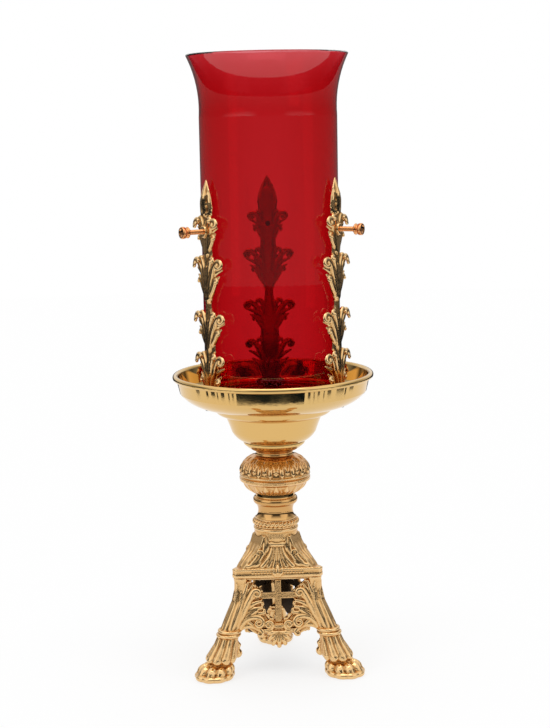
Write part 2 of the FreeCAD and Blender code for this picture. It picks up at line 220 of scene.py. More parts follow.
def carve(obj, lumps):
    """Cuts closed lumps out of obj."""
    tool = mesh_object("cutter", lumps.verts, lumps.faces)
    cut = obj.modifiers.new("cut", "BOOLEAN")
    cut.operation = "DIFFERENCE"
    cut.object = tool
    cut.solver = "EXACT"
    made = applied(obj, obj.name)
    bpy.data.objects.remove(tool)
    return made


def drilled(obj, radius, z, start, end):
    """Cuts a round radial hole along +X through obj."""
    angle = np.linspace(0, 2 * math.pi, 32, endpoint=False)
    across = np.stack([0 * angle, radius * np.cos(angle), z + radius * np.sin(angle)], 1)
    drill = Casting()
    drill.loft([across + (x, 0, 0) for x in (start, end)])
    return carve(obj, drill)


def coordinates(mesh):
    flat = np.empty(3 * len(mesh.vertices), np.float32)
    mesh.vertices.foreach_get("co", flat)
    return flat.reshape(-1, 3).astype(float)


def set_coordinates(mesh, points):
    mesh.vertices.foreach_set("co", np.asarray(points, np.float32).ravel())
    mesh.update()


def store(obj, name, values, lowest=0):
    """Stores a value up to 1 for each point, for a finish to read."""
    made = obj.data.attributes.new(name, "FLOAT", "POINT")
    made.data.foreach_set("value", np.clip(values, lowest, 1).astype(np.float32))


def mark_hollows(obj, reach=10):
    """Stores how hollow or proud each point is, from -1 to 1, for the finish to read."""
    mesh = obj.data
    points = coordinates(mesh)
    edges = np.empty(2 * len(mesh.edges), np.int32)
    mesh.edges.foreach_get("vertices", edges)
    edges = edges.reshape(-1, 2)
    ends = np.concatenate([edges[:, 0], edges[:, 1]])
    others = np.concatenate([edges[:, 1], edges[:, 0]])
    degree = np.maximum(np.bincount(ends, minlength=len(points)), 1)[:, None]
    smooth = points.copy()
    for _ in range(reach):
        total = np.stack([np.bincount(ends, smooth[others, k], len(points)) for k in range(3)], 1)
        smooth = 0.5 * smooth + 0.5 * total / degree
    normals = np.empty(3 * len(points), np.float32)
    mesh.vertices.foreach_get("normal", normals)
    proud = ((points - smooth) * normals.reshape(-1, 3)).sum(1) / (FULL_RELIEF * MM)
    store(obj, "relief", proud, -1)


def mark_painted_inside_shade(obj, share):
    """Stores how far each point belongs to the inside of a casting, where the finish paints shade."""
    store(obj, "inside", share(coordinates(obj.data) / MM))


def turned_copy(source, name, azimuth):
    """The same mesh turned about the lamp's axis, as its own object."""
    mesh = source.data.copy()
    mesh.name = name
    mesh.transform(Matrix.Rotation(math.radians(azimuth), 4, "Z"))
    return added(name, mesh)


def turn_round(points, azimuth):
    a = math.radians(azimuth)
    turn = np.array([[math.cos(a), math.sin(a), 0], [-math.sin(a), math.cos(a), 0], [0, 0, 1]])
    return np.asarray(points) @ turn


# ---------------------------------------------------------------- materials

def material(name, colour, metallic=0.0, roughness=0.4):
    made = bpy.data.materials.new(name)
    made.use_nodes = True
    shader = made.node_tree.nodes["Principled BSDF"]
    shader.inputs["Base Color"].default_value = (*colour, 1)
    shader.inputs["Metallic"].default_value = metallic
    shader.inputs["Roughness"].default_value = roughness
    return made, made.node_tree, shader


def add_node(tree, kind, **values):
    node = tree.nodes.new(kind)
    for key, value in values.items():
        if key in node.inputs:
            node.inputs[key].default_value = value
        else:
            setattr(node, key, value)
    return node


def stored(tree, name):
    """A value that store() left on each point."""
    return add_node(tree, "ShaderNodeAttribute", attribute_name=name).outputs["Fac"]


def spread(tree, source, low, high):
    """Source rescaled to run from 0 at low to 1 at high."""
    node = add_node(tree, "ShaderNodeMapRange", **{"From Min": low, "From Max": high})
    tree.links.new(source, node.inputs["Value"])
    return node.outputs["Result"]


def ramp(tree, source, stops):
    """A colour ramp on source, from (position, colour or value) stops."""
    node = tree.nodes.new("ShaderNodeValToRGB")
    elements = node.color_ramp.elements
    while len(elements) < len(stops):
        elements.new(0.5)
    for element, (position, value) in zip(elements, stops):
        element.position = position
        element.color = (*value, 1) if isinstance(value, tuple) else (value, value, value, 1)
    tree.links.new(source, node.inputs[0])
    return node.outputs[0]


def mixed(tree, share, first, second, blend="MIX"):
    """Two colours mixed by a share from 0 to 1; each of the three is a socket or a value."""
    node = add_node(tree, "ShaderNodeMix", data_type="RGBA", blend_type=blend)
    for slot, value in ((0, share), (6, first), (7, second)):
        if isinstance(value, bpy.types.NodeSocket):
            tree.links.new(value, node.inputs[slot])
        else:
            node.inputs[slot].default_value = (*value, 1) if isinstance(value, tuple) else value
    return node.outputs[2]


def noise(tree, scale, detail=3.0):
    where = add_node(tree, "ShaderNodeTexCoord")
    grain = add_node(tree, "ShaderNodeTexNoise", Scale=scale, Detail=detail)
    tree.links.new(where.outputs["Object"], grain.inputs["Vector"])
    return grain.outputs["Fac"]


def bump(tree, shader, source, strength, distance):
    node = add_node(tree, "ShaderNodeBump", Strength=strength, Distance=distance)
    tree.links.new(source, node.inputs["Height"])
    tree.links.new(node.outputs["Normal"], shader.inputs["Normal"])


# height, and how much painted shade and orange reflection of the bowl above falls on the plate there; the
# ramp that holds them ends at the top height set below
PAINTED_BOWL_SHADE = [(125.0, 0.0), (132.0, 0.7), (147.5, 0.7), (152.0, 0.1), (170.0, 0.1), (177.0, 0.7),
           (187.0, 0.9), (189.0, 0.0)]
PAINTED_BOWL_SHADE_TOP = 250.0


def painted_bowl_shade(tree):
    """Painted shade and orange reflection of the bowl above, put on the plate of the stem by height."""
    where = add_node(tree, "ShaderNodeNewGeometry")
    split = add_node(tree, "ShaderNodeSeparateXYZ")
    tree.links.new(where.outputs["Position"], split.inputs[0])
    level = spread(tree, split.outputs["Z"], 0.0, PAINTED_BOWL_SHADE_TOP * MM)
    return ramp(tree, level, [(z / PAINTED_BOWL_SHADE_TOP, share) for z, share in PAINTED_BOWL_SHADE])


def polished_gold():
    """Bright plate; a little coppery where a piece says so, as the thumb screws are; painted shade and
    orange reflection of the bowl above on the stem.
    """
    made, tree, shader = material("polished_gold", (0.72, 0.46, 0.17), 1.0, 0.09)
    tree.links.new(ramp(tree, noise(tree, 60), [(0.35, 0.03), (0.7, 0.08)]), shader.inputs["Roughness"])
    tint = ramp(tree, noise(tree, 14), [(0.3, (0.74, 0.46, 0.16)), (0.7, (0.71, 0.47, 0.18))])
    # painted shade and orange reflection of the bowl above, on the stem's polished parts
    tint = mixed(tree, painted_bowl_shade(tree), tint, (0.60, 0.31, 0.11))
    tint = mixed(tree, stored(tree, "coppery"), tint, (0.80, 0.33, 0.13))
    tree.links.new(tint, shader.inputs["Base Color"])
    bump(tree, shader, noise(tree, 420), 0.02, 0.0002)
    return made


def cast_gold():
    """Bright on the high points of the relief, duller in the hollows, which get painted shade with some
    patina; painted shade makes the inside dark, and it is rough there.
    """
    made, tree, shader = material("cast_gold", (0.72, 0.46, 0.17), 1.0, 0.2)
    level = spread(tree, stored(tree, "relief"), -1, 1)
    # painted shade with some patina: near black in the deepest hollows, lighter towards the high points
    stops = [(0.05, (0.07, 0.032, 0.011)), (0.24, (0.38, 0.16, 0.042)), (0.42, (0.66, 0.37, 0.135))]
    stops += [(0.62, (0.83, 0.545, 0.255))]
    inside = stored(tree, "inside")
    # painted shade of the bowl above, multiplied into the stem's cast parts
    outside_colour = mixed(tree, painted_bowl_shade(tree), ramp(tree, level, stops), (0.92, 0.74, 0.62), "MULTIPLY")
    # painted shade: the inside of the castings is made near black, as it lies in shade
    tree.links.new(mixed(tree, inside, outside_colour, (0.05, 0.03, 0.016)), shader.inputs["Base Color"])
    dulled = ramp(tree, level, [(0.2, 0.34), (0.5, 0.17), (0.7, 0.1)])
    tree.links.new(mixed(tree, inside, dulled, (0.62, 0.62, 0.62)), shader.inputs["Roughness"])
    grain = add_node(tree, "ShaderNodeMath", operation="MULTIPLY_ADD")
    tree.links.new(noise(tree, 170, 4), grain.inputs[0])
    grain.inputs[1].default_value = 3.0
    tree.links.new(noise(tree, 700, 5), grain.inputs[2])
    bump(tree, shader, grain.outputs[0], 0.16, 0.0004)
    return made


def ruby_glass():
    made, tree, shader = material("ruby_glass", (1, 1, 1), 0.0, 0.0)
    shader.inputs["Transmission Weight"].default_value = 1.0
    shader.inputs["IOR"].default_value = 1.5
    tint = add_node(tree, "ShaderNodeVolumeAbsorption", Density=830.0)
    tint.inputs["Color"].default_value = (0.84, 0.0, 0.085, 1)
    tree.links.new(tint.outputs[0], tree.nodes["Material Output"].inputs["Volume"])
    bump(tree, shader, noise(tree, 9, 1), 0.05, 0.0006)
    return made


def soft_rubber():
    made, tree, shader = material("soft_rubber", (0.03, 0.027, 0.025), 0.0, 0.7)
    bump(tree, shader, noise(tree, 1500), 0.3, 0.0001)
    return made


def plain_steel():
    made, tree, shader = material("plain_steel", (0.56, 0.55, 0.53), 1.0, 0.32)
    tree.links.new(ramp(tree, noise(tree, 300), [(0.3, 0.25), (0.7, 0.42)]), shader.inputs["Roughness"])
    bump(tree, shader, noise(tree, 900), 0.08, 0.0001)
    return made


SLOT_FINISH = {"polished_gold": polished_gold(), "cast_gold": cast_gold(), "ruby_glass": ruby_glass(),
               "soft_tip": soft_rubber(), "plain_steel": plain_steel()}


def finish_piece(obj, body, slot, *nodes):
    """Gives a piece the material of its slot, puts it in its body and hides the nodes that it stands for."""
    obj.data.materials.clear()
    obj.data.materials.append(SLOT_FINISH[slot])
    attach(obj, body)
    if nodes:
        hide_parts(*nodes)


# ---------------------------------------------------------------- arms

ARM_FACE_R = 57.2
ARM_BEND_R = 60.0
# height and half-width of the stem that the leaves grow from
ARM_STEM = [(230, 10.5), (240, 8.5), (262, 8.0), (273, 8.8), (282, 8.2), (300, 6.0), (311, 3.8)]
ARM_STEM += [(322, 3.9), (340, 6.0), (352, 7.2), (362, 6.6), (376, 6.4), (386, 7.6), (398, 5.4)]
# foot, top and half-width of each pair of leaves
ARM_TIERS = [(232, 270, 20.5), (277, 304, 22.0), (317, 348, 21.0), (354, 380, 16.5)]
ARM_FOOT_Z = 229.4
SCREW_Z = 371.7
SCREW_HOLE_R = 2.17
SCREW_PITCH = 0.794
# where the thumb screw's thread starts and ends, its radius at the root and its height
THREAD_START, THREAD_END, THREAD_R, THREAD_HEIGHT = 59.4, 75.6, 1.84, 0.24
KNURLS, KNURL_DEPTH = 24, 0.16


def on_arm(u, v, h):
    """u runs round the globe, v is the height, h stands out from the face next to the glass."""
    angle = u / ARM_BEND_R
    r = ARM_FACE_R + h
    return np.stack([r * np.cos(angle), r * np.sin(angle), v + 0 * u], -1)


def arm_tier(cast, low, high, half):
    """A pair of acanthus leaves that rise from the stem and curl over at their tips."""
    rise = high - low
    for s in (-1, 1):
        bend, end = (s * 0.30 * half, low + 0.82 * rise), (s * (half - 5.6), high)
        rib = volute((s * 1.6, low), bend, end, 3.6, 0.95, -s)
        cast.stroke(on_arm, rib, (3.4, 3.0, 2.4, 1.7, 1.5), (2.4, 3.0, 5.2, 7.2, 6.8), 0.75)
        bend, end = (s * 1.5, low + 0.8 * rise), (s * 0.36 * half, high + 1.6)
        inner = volute((s * 0.8, low + 3), bend, end, 1.9, 0.6, -s)
        cast.stroke(on_arm, inner, (2.6, 2.4, 1.4), (2.8, 3.8, 6.4), 0.8)
        bend, end = (s * 0.36 * half, low + 0.25 * rise), (s * 0.52 * half, high - 0.5 * rise)
        lobe = volute((s * 1.5, low + 1), bend, end, 1.9, 0.7, -s)
        cast.stroke(on_arm, lobe, (2.8, 2.4, 1.3), (2.2, 3.2, 5.2), 0.75)
        for share, length in ((0.62, 0.78), (0.80, 0.92)):
            root, tip = (0.25 * half, low + (share - 0.22) * rise), (length * half, low + share * rise)
            finger = bezier(root, (0.5 * half, low + (share - 0.1) * rise), tip, 9) * (s, 1)
            cast.stroke(on_arm, finger, (2.6, 2.2, 1.0), (2.0, 2.6, 3.6), 0.6)


def arm_casting():
    cast = Casting()
    z = np.linspace(230.6, 398, 60)
    half = np.interp(z, *zip(*ARM_STEM))
    path = np.stack([0 * z, z], 1)
    cast.stroke(on_arm, path, half, 1.9, 1.9 / half, 14)
    cast.stroke(on_arm, path, (2.4, 2.0, 1.6, 1.8, 1.2), 3.6, 0.9)
    for tier in ARM_TIERS:
        arm_tier(cast, *tier)
    for s in (-1, 1):
        fold = bezier((5.4, 384), (8.2, 395), (0.8, 411), 12) * (s, 1)
        cast.stroke(on_arm, fold, (2.6, 2.6, 0.7), (2.4, 2.8, 2.0), 0.8)
        for v, reach in ((390.5, 8.4), (398.0, 7.0), (404.5, 4.6)):
            lobe = bezier((1.2, v - 6), (0.7 * reach, v - 4), (reach, v), 8) * (s, 1)
            cast.stroke(on_arm, lobe, (2.2, 1.9, 1.0), (3.0, 3.4, 2.6), 0.75)
        toe = bezier((2.0, 240), (9.0, 238), (12.5, 231.4), 9) * (s, 1)
        cast.stroke(on_arm, toe, (2.4, 2.2, 1.8), 2.4, 0.9)
    bud = bezier((0, 386), (0, 399), (0, 412.2), 12)
    cast.stroke(on_arm, bud, (2.6, 3.4, 0.8), (3.6, 4.2, 2.0), 0.8)
    cast.slab(on_arm, [(-9, 229.6), (9, 229.6), (9, 234), (-9, 234)], 0.4, 8.6)
    ring = np.linspace(0, 2 * math.pi, 24, endpoint=False)
    across = np.stack([0 * ring, 4.7 * np.cos(ring), SCREW_Z + 4.7 * np.sin(ring)], 1)
    cast.loft([across + (x, 0, 0) for x in (58.0, 63.8)])
    arm = cast.build("arm_pattern", 0.5)
    points = coordinates(arm.data) / MM
    reach = np.hypot(points[:, 0], points[:, 1])
    points[:, :2] *= (np.maximum(reach, ARM_FACE_R) / reach)[:, None]
    points[:, 2] = np.maximum(points[:, 2], ARM_FOOT_Z)
    set_coordinates(arm.data, points * MM)
    return drilled(arm, SCREW_HOLE_R, SCREW_Z, 50, 70)


def make_arms():
    pattern = arm_casting()
    mark_hollows(pattern)
    for name, azimuth in CORNERS.items():
        arm = turned_copy(pattern, "arm_" + name + "_relief", azimuth)
        finish_piece(arm, "frame", "cast_gold", "arm_" + name)
    bpy.data.objects.remove(pattern)


make_arms()

# ---------------------------------------------------------------- legs

# height, centre radius, half-size along the radius, half-size across it
LEG = np.array([
    (0.0, 63.0, 15.8, 14.8), (1.4, 63.0, 17.2, 16.2), (4.5, 62.6, 17.2, 16.2), (10.0, 59.2, 13.7, 13.0),
    (18.6, 54.9, 11.2, 10.8), (26.7, 51.6, 9.2, 9.1), (33.6, 49.2, 8.8, 8.6), (41.0, 46.2, 8.3, 8.1),
    (51.6, 41.0, 7.9, 7.6), (62.0, 36.2, 7.3, 7.2), (74.0, 34.6, 6.9, 6.8), (82.0, 35.4, 7.0, 6.8)])


def on_leg(u, v, h):
    """u is the angle round the leg in degrees, from its outer side; v is the height."""
    centre, depth, width = (np.interp(v, LEG[:, 0], LEG[:, k]) for k in (1, 2, 3))
    a = np.radians(u)
    x = centre + (depth + h) * np.cos(a)
    return np.stack([x, (width + h) * np.sin(a), v + 0 * a], -1)


def leg_ring(v, h, sides=40):
    u = np.linspace(0, 360, sides, endpoint=False)
    return on_leg(u, 0 * u + v, 0 * u + h)


def leg_casting():
    cast = Casting()
    core = [(3.6, -4.2), (6.0, -4.8), (9.6, -4.4), (13.0, -3.4), (14.4, -1.6), (22.0, -1.0), (31.0, -0.7)]
    core += [(37.0, -0.5), (50.0, -1.1), (66.0, -1.3), (78.0, -0.9), (82.0, -0.6)]
    cast.loft([leg_ring(v, h) for v, h in core])
    for v, radius, h in ((38.4, 1.5, 0.4), (35.2, 1.4, 0.5)):
        cast.hoop(leg_ring(v, h), radius, (0, 0, 1))
    for k, u in enumerate(range(-154, 176, 44)):
        blade = bezier((u * 0.96, 39.6), (u * 1.06, 56), (u * 0.86, 80.5 - 7.0 * (k % 2)), 18)
        cast.stroke(on_leg, blade, (2.2, 3.0, 3.1, 2.6, 0.9), (-1.0, -1.1, -1.2, -1.3, -1.6), 0.5)
        rib = bezier((u * 0.96, 40.4), (u * 1.06, 56), (u * 0.86, 78.0 - 7.0 * (k % 2)), 18)
        cast.stroke(on_leg, rib, (0.6, 0.8, 0.8, 0.5), (-0.1, 0.1, 0.0, -0.6), 0.8)
    for u in range(-160, 200, 40):
        tendon = bezier((u * 0.98, 33.6), (u, 24), (u, 16.6), 14)
        cast.stroke(on_leg, tendon, (1.8, 2.4, 3.3, 4.1), (-1.0, -0.8, -0.9, -1.2), 0.7)
        toe = [(u, v) for v in (10.4, 9.2, 7.8, 6.2, 4.8)]
        cast.stroke(on_leg, toe, (2.6, 3.7, 4.2, 4.2, 3.6), (-4.6, -3.9, -3.6, -3.7, -4.2), 0.9)
    lobes = np.linspace(0, 2 * math.pi, 160, endpoint=False)
    pad = np.abs(np.cos(4.5 * lobes)) - 1.0
    rings = []
    for v, h in ((0.0, -0.9), (0.6, -0.2), (2.0, 0.0), (3.8, 0.0), (4.9, -0.7), (5.4, -2.4)):
        rings.append(on_leg(np.degrees(lobes), 0 * lobes + v, pad + h))
    cast.loft(rings)
    spur = [(43.0, 0, 30.5), (41.0, 0, 27.0), (40.4, 0, 23.0), (40.8, 0, 19.0)]
    cast.tube(spur, (1.6, 2.0, 2.3, 2.8), (0, 1, 0))
    cast.ball((40.4, 0, 17.2), (4.2, 4.0, 4.2))
    cast.ball((39.8, 0, 24.2), (2.6, 3.0, 2.6))
    leg = cast.build("leg_pattern", 0.5)
    points = coordinates(leg.data)
    points[:, 2] = np.clip(points[:, 2], 0, LEG[-1, 0] * MM)
    set_coordinates(leg.data, points)
    return leg


# ---------------------------------------------------------------- panels and crosses

PANEL_APOTHEM = 21.5
PANEL_TOP = 82.0
PANEL_LEAN = math.radians(6.5)


def on_panel(u, v, h):
    """u runs across the panel, v is its height before it leans, h stands out from its face."""
    drop = PANEL_TOP - v
    x = PANEL_APOTHEM + h * math.cos(PANEL_LEAN) + drop * math.sin(PANEL_LEAN)
    z = PANEL_TOP - drop * math.cos(PANEL_LEAN) + h * math.sin(PANEL_LEAN)
    return np.stack([x + 0 * u, u + 0 * x, z], -1)


def panel_depth(points):
    """How far points of the +X panel lie behind its face, as a share of the inside that gets painted shade.
    """
    lean = PANEL_LEAN
    height = (points[:, 0] - PANEL_APOTHEM) * math.cos(lean) + (points[:, 2] - PANEL_TOP) * math.sin(lean)
    return (-1.5 - height) / 1.2


def panel_casting():
    cast = Casting()
    wing = [(0, 37), (7.4, 36.8), (11.5, 34.6), (15.2, 33.9), (19, 34.8), (22, 36.6), (25, 39.4), (29, 40.9)]
    wing += [(33.0, 40.8), (32, 50), (26.5, 64), (26.5, 82), (0, 82), (0, 80), (23.8, 80), (20.6, 77.6)]
    wing += [(16.4, 74.2), (12.6, 70.9), (12.6, 69.6), (16, 69.6), (16, 64.4), (12.6, 64.4), (12.4, 59)]
    wing += [(10.4, 53.6), (6.8, 49.0), (2.7, 46.2), (2.7, 44.5), (0, 44.5)]
    leaves = (((29, 56), (14.2, 57.0), 2.2, 1.6), ((28.4, 60), (15.2, 62.2), 2.2, 1.5),
              ((28, 52), (11.6, 52.6), 2.0, 1.4), ((30.5, 66), (24.8, 78.4), 2.2, 1.0),
              ((29.5, 64), (21.0, 76.2), 2.0, 0.9), ((30, 50), (21.6, 42.6), 2.0, 1.2),
              ((29, 48), (18.6, 55.0), 2.6, 2.0), ((28.8, 62), (20.4, 66.4), 2.8, 2.0))
    for s in (-1, 1):
        outline = [(s * u, v) for u, v in wing]
        cast.slab(on_panel, outline, -4.8, -1.3)
        scroll = volute((s * 33.5, 41), (s * 28, 58), (s * 20.6, 70.4), 3.2, 1.0, s)
        cast.stroke(on_panel, scroll, (2.8, 2.8, 2.4, 1.6, 1.1), (-1.2, 0.0, 0.6, 1.2, 1.4), 0.8)
        low = volute((s * 33, 39.5), (s * 27, 52), (s * 15.8, 48.4), 4.2, 1.0, s)
        cast.stroke(on_panel, low, (2.8, 2.6, 2.2, 1.7, 1.2), (-1.2, 0.0, 0.6, 1.2, 1.5), 0.8)
        arch = volute((s * 33.5, 38.8), (s * 24, 46), (s * 14.5, 37.4), 2.6, 0.6, s)
        cast.stroke(on_panel, arch, (2.2, 2.4, 1.9, 1.4), (-1.4, -0.2, 0.4), 0.8)
        curl = volute((s * 16, 38.4), (s * 6.2, 35.6), (s * 5.4, 42.0), 3.1, 1.1, -s)
        cast.stroke(on_panel, curl, (1.4, 2.0, 1.8, 1.4, 1.1), (-0.8, 0.2, 0.8, 1.3), 0.85)
        for ctrl, end, middle, last in leaves:
            leaf = bezier((32.5, 43), ctrl, end, 16) * (s, 1)
            cast.stroke(on_panel, leaf, (1.6, middle, middle, last), (-1.6, -0.7, -0.2, 0.3), 0.7)
        for u, v, r in ((13.2, 60.2, 1.7), (11.8, 54.6, 1.6), (8.4, 50.4, 1.4), (5.0, 47.4, 1.2),
                        (15.6, 72.4, 1.5), (19.2, 75.4, 1.4), (22.8, 78.6, 1.2), (14.2, 63.2, 1.2)):
            cast.ball(on_panel(s * u, v, -0.8), (r, r, r))
        edge = bezier((4.6, 45.4), (12.8, 50.5), (13.8, 61.5), 16) * (s, 1)
        cast.stroke(on_panel, edge, 0.9, -0.8)
    bar = np.stack([np.linspace(-25, 25, 20), np.full(20, 81.2)], 1)
    cast.stroke(on_panel, bar, 0.9, -0.9)
    for k in range(-3, 4):
        angle = math.radians(27 * k)
        reach = 12.4 - 0.3 * abs(k) - 0.28 * k * k
        end = (0.92 * reach * math.sin(angle), 37.2 - reach * math.cos(angle))
        middle = (0.55 * reach * math.sin(angle), 36.6 - 0.5 * reach * math.cos(angle))
        ray = bezier((0, 36.6), middle, end, 12)
        cast.stroke(on_panel, ray, (1.0, 1.5, 2.0, 2.1), (-0.6, 0.3, 0.8, -0.1), 0.9)
    shell = [(8.0, 36.9), (8.3, 32.6), (6.4, 28.2), (3.0, 25.2), (0, 24.4)]
    cast.slab(on_panel, shell + [(-u, v) for u, v in reversed(shell[:-1])], -4.6, -1.2)
    cast.slab(on_panel, [(-4.6, 38.4), (4.6, 38.4), (4.6, 43.6), (-4.6, 43.6)], -4.6, 0.2)
    cast.slab(on_panel, [(-3.4, 39.6), (3.4, 39.6), (3.4, 42.4), (-3.4, 42.4)], -1.0, 1.2)
    panel = cast.build("panel_pattern", 0.45)
    points = coordinates(panel.data)
    # a hair under the shell that rests on the panels
    points[:, 2] = np.minimum(points[:, 2], (PANEL_TOP - 0.1) * MM)
    set_coordinates(panel.data, points)
    return panel


def cross_mesh():
    """A flat cross with bevelled front edges."""
    rings = []
    for inset, h in ((0.0, -4.2), (0.0, -1.0), (0.25, -0.6), (0.6, -0.4)):
        w, span, low, high = 2.7 - inset, 16.0 - inset, 64.4 + inset, 69.6 - inset
        half = [(w, 44.5 + inset), (w, low), (span, low), (span, high), (w, high), (w, 80.0 - inset)]
        outline = np.array(half + [(-u, v) for u, v in reversed(half)])
        rings.append(on_panel(outline[:, 0], outline[:, 1], 0 * outline[:, 0] + h))
    cast = Casting()
    cast.loft(rings)
    return mesh_object("cross_pattern", cast.verts, cast.faces, smooth=False)


# ---------------------------------------------------------------- base shell

# height, distance to a face, distance to a corner
SHELL = np.array([(90.0, 22.9, 36.4), (93.0, 21.7, 34.0), (96.3, 20.7, 31.4), (99.4, 19.9, 28.0),
                  (102.6, 19.2, 24.8), (109.0, 17.5, 20.6), (116.0, 16.4, 17.8)])
# the hollow inside, in the same terms
CAVITY = np.array([(80.0, 19.6, 26.0), (86.0, 19.6, 26.0), (86.1, 19.6, 34.6), (96.3, 17.2, 26.4),
                   (102.6, 15.8, 20.4), (109.0, 14.4, 16.8), (117.0, 13.6, 14.6)])


def shell_ring(z, apothem, corner, sink=0.0):
    """Corner section of the shell; sink draws its long faces in but leaves the corners."""
    half = (2 * apothem - corner) / math.sqrt(3)
    inner = apothem - sink
    ring = []
    for azimuth in sorted(CORNERS.values()):
        a = math.radians(azimuth)
        for side, reach in ((-1, corner - 1.2 * sink), (-1, corner), (1, corner), (1, corner - 1.2 * sink)):
            y = side * (half if reach == corner else max(half, (2 * inner - reach) / math.sqrt(3)))
            ring.append((reach * math.cos(a) - y * math.sin(a), reach * math.sin(a) + y * math.cos(a), z))
    return ring


def on_face(u, v, h):
    """u runs across a face of the shell, v is the height."""
    x = np.interp(v, SHELL[:, 0], SHELL[:, 1]) + h
    return np.stack([x + 0 * u, u + 0 * x, v + 0 * x], -1)


def corner_relief(cast, azimuth):
    """A ribbed leaf up each cut corner."""
    def place(u, v, h):
        x = np.interp(v, SHELL[:, 0], SHELL[:, 2]) + h
        return turn_round(np.stack([x + 0 * u, u + 0 * x, v + 0 * x], -1), azimuth)

    rib = bezier((0, 91.4), (0, 100), (0, 111.5), 16)
    cast.stroke(place, rib, (1.5, 1.3, 1.1, 0.6), (-0.7, -0.4, -0.4, -0.7), 0.8)
    for s in (-1, 1):
        for ends in (((2.4, 91.2), (4.8, 97.0), (2.4, 105.0)), ((2.2, 98.0), (7.4, 103.0), (4.0, 112.0))):
            leaf = bezier(*ends, 14) * (s, 1)
            cast.stroke(place, leaf, (1.3, 2.0, 1.7, 0.7), (-0.9, -0.6, -0.5, -0.8), 0.5)


# start, bend and end of the small leaves on one half of a face
FACE_LEAVES = [((24, 92.0), (17, 96), (14.0, 105)), ((20.5, 92.0), (15, 93.6), (13.8, 96.8)),
               ((12, 100), (9.4, 106), (10.6, 113)), ((9, 104), (7.4, 108), (8.6, 114.5)),
               ((6, 112.0), (5.2, 114), (5.6, 117)), ((2, 112.0), (1.8, 114), (2.0, 117))]


def face_relief(cast, azimuth):
    """A fan of leaves under a tablet, with scrolls beside it and beads along the cornice."""
    def place(u, v, h):
        return turn_round(on_face(u, v, h), azimuth)

    cast.slab(place, [(-6.2, 107.9), (6.2, 107.9), (6.2, 111.1), (-6.2, 111.1)], -1.6, 0.9)
    cast.slab(place, [(-5.0, 108.8), (5.0, 108.8), (5.0, 110.2), (-5.0, 110.2)], 0.4, 1.4)
    for end in (-12.4, -7.4, -2.5, 2.5, 7.4, 12.4):
        leaf = bezier((0.34 * end, 107.4), (0.36 * end, 99.0), (end, 91.8), 14)
        cast.stroke(place, leaf, (0.9, 1.2, 2.2, 1.9), (-0.5, -0.3, -0.2, -0.5), 0.5)
        cast.stroke(place, leaf, (0.4, 0.6, 0.7, 0.4), (0.0, 0.2, 0.6, 0.2), 0.8)
    for s in (-1, 1):
        rim = np.array([(27.8, 91.0), (23.5, 96.3), (17.0, 102.6), (13.0, 109.0), (10.8, 115.0)]) * (s, 1)
        cast.stroke(place, rim, 0.7, -0.5)
        curl = volute((s * 25, 91.8), (s * 17, 93.2), (s * 12.6, 101.0), 2.6, 0.9, -s)
        cast.stroke(place, curl, (1.8, 2.1, 1.8, 1.2, 0.9), (-0.7, -0.3, 0.3, 0.5), 0.7)
        for ends in FACE_LEAVES:
            leaf = bezier(*ends, 12) * (s, 1)
            cast.stroke(place, leaf, (1.3, 1.8, 1.6, 0.8), (-0.6, -0.2, -0.1, -0.4), 0.6)
        for k in range(7):
            cast.ball(place(s * (5.8 + 2.5 * k), 86.9, -0.1), (0.9, 0.9, 0.9))
    for s in (-1, 0, 1):
        petal = bezier((0.6, 83.4), (3.2, 86.0), (3.4, 89.6 + 2.4 * (s == 0)), 10) * (s, 1)
        cast.stroke(place, petal, (1.1, 1.8, 0.8), (0.2, 0.5, 0.1), 0.7)


def shell_inside(points):
    """Whether points lie on the shell's hollow, where the finish paints shade."""
    reach, corner = np.full(len(points), -99.0), np.full(len(points), -99.0)
    for azimuths, out in ((FACES, reach), (CORNERS, corner)):
        for azimuth in azimuths.values():
            a = math.radians(azimuth)
            np.maximum(out, points[:, 0] * math.cos(a) + points[:, 1] * math.sin(a), out=out)
    height, slack = points[:, 2], 0.4
    near_face = reach < np.interp(height, CAVITY[:, 0], CAVITY[:, 1]) + slack
    near_corner = corner < np.interp(height, CAVITY[:, 0], CAVITY[:, 2]) + slack
    return near_face & near_corner & (height < CAVITY[-1, 0] + slack)


def shell_casting():
    cast = Casting()
    cast.loft([shell_ring(z, a, c, 0.8) for z, a, c in SHELL])
    cornice = [(82.0, 22.8, 41.6), (82.8, 23.4, 42.3), (85.0, 23.4, 42.3), (85.6, 23.15, 42.0)]
    cornice += [(88.0, 23.15, 42.0), (88.6, 23.4, 42.3), (89.4, 23.4, 42.3), (90.2, 22.5, 41.0)]
    cast.loft([shell_ring(z, a, c) for z, a, c in cornice])
    cast.lathe([(15.0, 109.0), (17.9, 110.0), (18.2, 114.0), (18.2, 119.2), (18.8, 119.9), (18.8, 121.2),
                (18.3, 121.9), (15.0, 121.9)])
    for azimuth in FACES.values():
        face_relief(cast, azimuth)
    for azimuth in CORNERS.values():
        corner_relief(cast, azimuth)
    shell = cast.build("base_shell_relief", 0.5)
    inside = Casting()
    inside.loft([shell_ring(z, a, c) for z, a, c in CAVITY])
    made = carve(shell, inside)
    bore = Casting()
    angle = np.linspace(0, 2 * math.pi, 48, endpoint=False)
    ring = np.stack([np.cos(angle), np.sin(angle), 0 * angle], 1)
    bore.loft([ring * (ROD_BORE_R, ROD_BORE_R, 0) + (0, 0, z) for z in (115.0, 124.0)])
    made = carve(made, bore)
    mark_painted_inside_shade(made, shell_inside)
    return made


# ---------------------------------------------------------------- knop and rope collar

